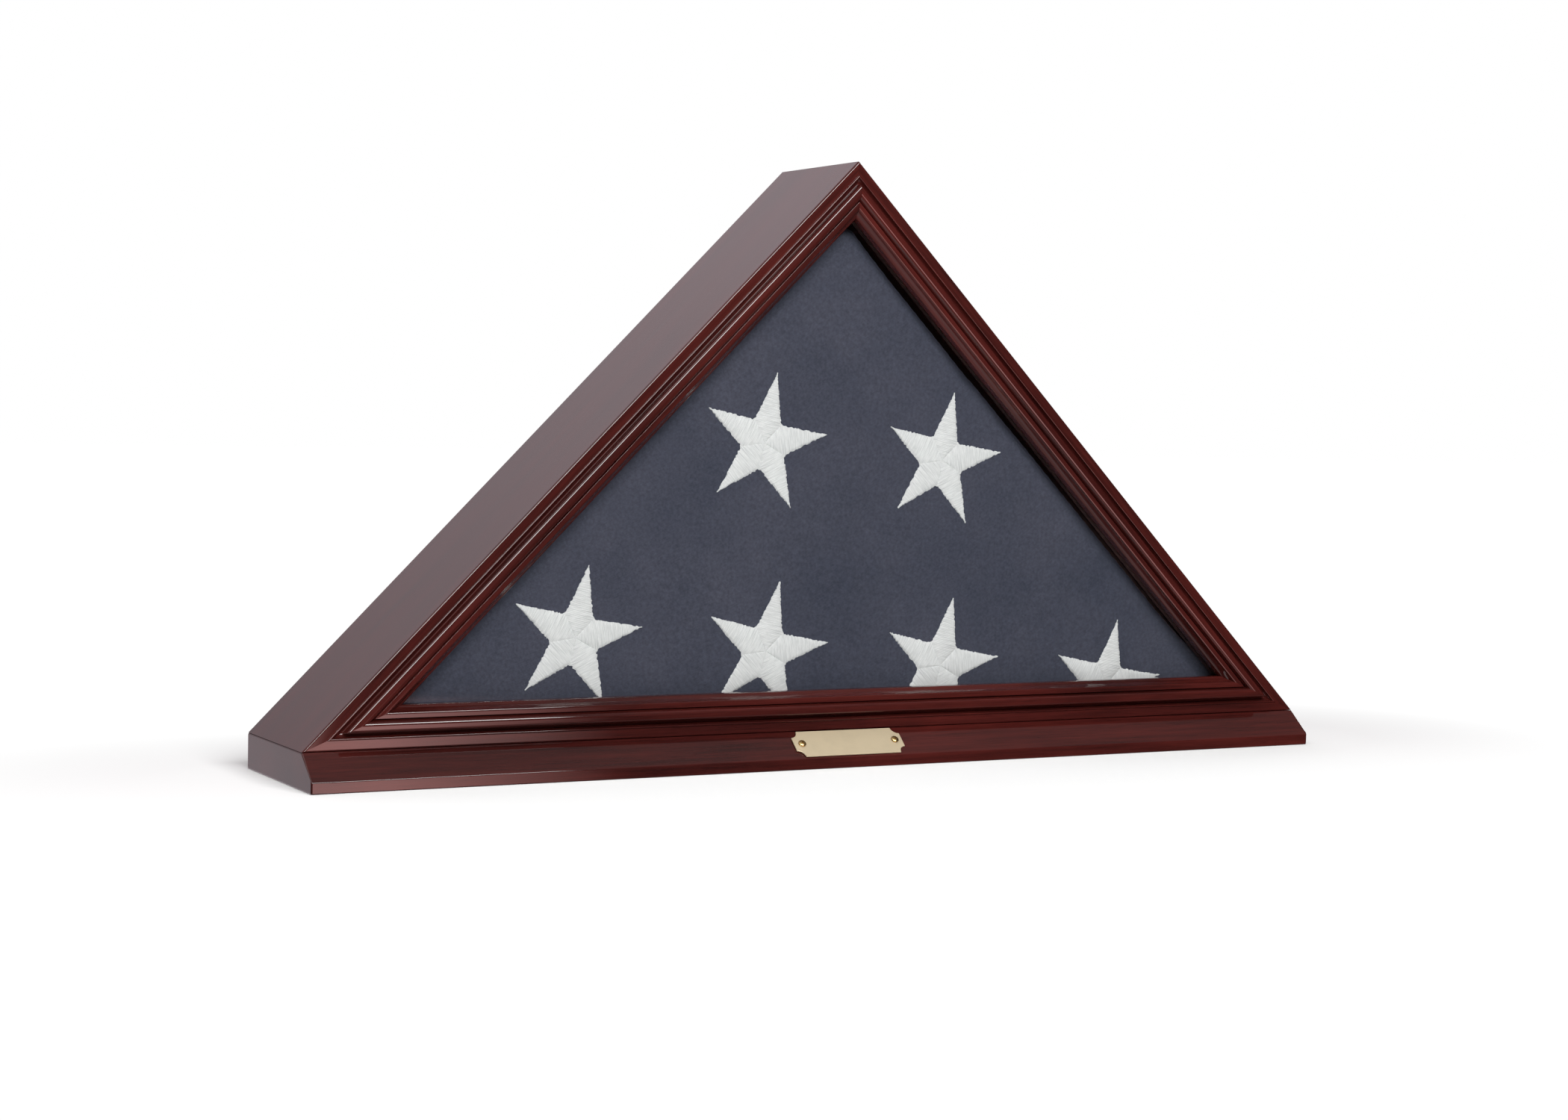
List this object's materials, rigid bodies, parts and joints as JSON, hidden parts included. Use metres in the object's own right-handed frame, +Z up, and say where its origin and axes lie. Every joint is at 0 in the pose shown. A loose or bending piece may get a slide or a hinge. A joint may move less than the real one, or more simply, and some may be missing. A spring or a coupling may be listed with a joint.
{
  "type": "folded flag display case",
  "caption": "Triangular glazed wooden box on a sloping plinth, with a blank brass plate, a folded star-field flag inside and a lift-off back held by turn buttons.",
  "frame": {"origin": "centre of the case's footprint, on the surface it stands on", "axes": "+X to the right along the plinth, +Y from the glazed front to the back, +Z up"},
  "size_m": [0.6224, 0.1074, 0.33],
  "materials": {
    "lacquered_wood": "gloss",
    "stained_wood": "satin",
    "clear_glass": "gloss",
    "flag_cloth": "matte",
    "star_thread": "satin",
    "back_board": "matte",
    "brass": "satin",
    "zinc_steel": "satin"
  },
  "bodies": {
    "case": {"plinth_board": "lacquered_wood", "side_board_left": "lacquered_wood", "side_board_right": "lacquered_wood", "frame_rail_left": "lacquered_wood", "frame_rail_right": "lacquered_wood", "frame_rail_bottom": "lacquered_wood", "glass_pane": "clear_glass", "glass_stop_left": "stained_wood", "glass_stop_right": "stained_wood", "glass_stop_bottom": "stained_wood", "folded_flag": "flag_cloth", "nameplate": "brass", "nameplate_screw_left": "brass", "nameplate_screw_right": "brass", "turn_button_screw_1": "brass", "turn_button_screw_2": "brass", "turn_button_screw_3": "brass", "turn_button_screw_4": "brass", "turn_button_screw_5": "brass", "turn_button_screw_6": "brass", "base_screw_left_front": "zinc_steel", "base_screw_left_rear": "zinc_steel", "base_screw_right_front": "zinc_steel", "base_screw_right_rear": "zinc_steel"},
    "back_panel": {"back_panel": "back_board"},
    "turn_button_1": {"turn_button_1": "brass"},
    "turn_button_2": {"turn_button_2": "brass"},
    "turn_button_3": {"turn_button_3": "brass"},
    "turn_button_4": {"turn_button_4": "brass"},
    "turn_button_5": {"turn_button_5": "brass"},
    "turn_button_6": {"turn_button_6": "brass"}
  },
  "joints": [
    {"name": "back_panel_lift_off", "type": "slide", "parent": "case", "child": "back_panel", "axis": [0, 1, 0], "range_m": [0, 0.12]},
    {"name": "turn_button_1_pivot", "type": "hinge", "parent": "case", "child": "turn_button_1", "pos_m": [-0.212, 0.0503, 0.11084], "axis": [0, -1, 0], "range_deg": [0, 90]},
    {"name": "turn_button_2_pivot", "type": "hinge", "parent": "case", "child": "turn_button_2", "pos_m": [-0.09179, 0.0503, 0.23105], "axis": [0, -1, 0], "range_deg": [0, 90]},
    {"name": "turn_button_3_pivot", "type": "hinge", "parent": "case", "child": "turn_button_3", "pos_m": [0.09179, 0.0503, 0.23105], "axis": [0, 1, 0], "range_deg": [0, 90]},
    {"name": "turn_button_4_pivot", "type": "hinge", "parent": "case", "child": "turn_button_4", "pos_m": [0.212, 0.0503, 0.11084], "axis": [0, 1, 0], "range_deg": [0, 90]},
    {"name": "turn_button_5_pivot", "type": "hinge", "parent": "case", "child": "turn_button_5", "pos_m": [0.12, 0.0503, 0.01385], "axis": [0, -1, 0], "range_deg": [0, 90]},
    {"name": "turn_button_6_pivot", "type": "hinge", "parent": "case", "child": "turn_button_6", "pos_m": [-0.12, 0.0503, 0.01385], "axis": [0, 1, 0], "range_deg": [0, 90]}
  ]
}
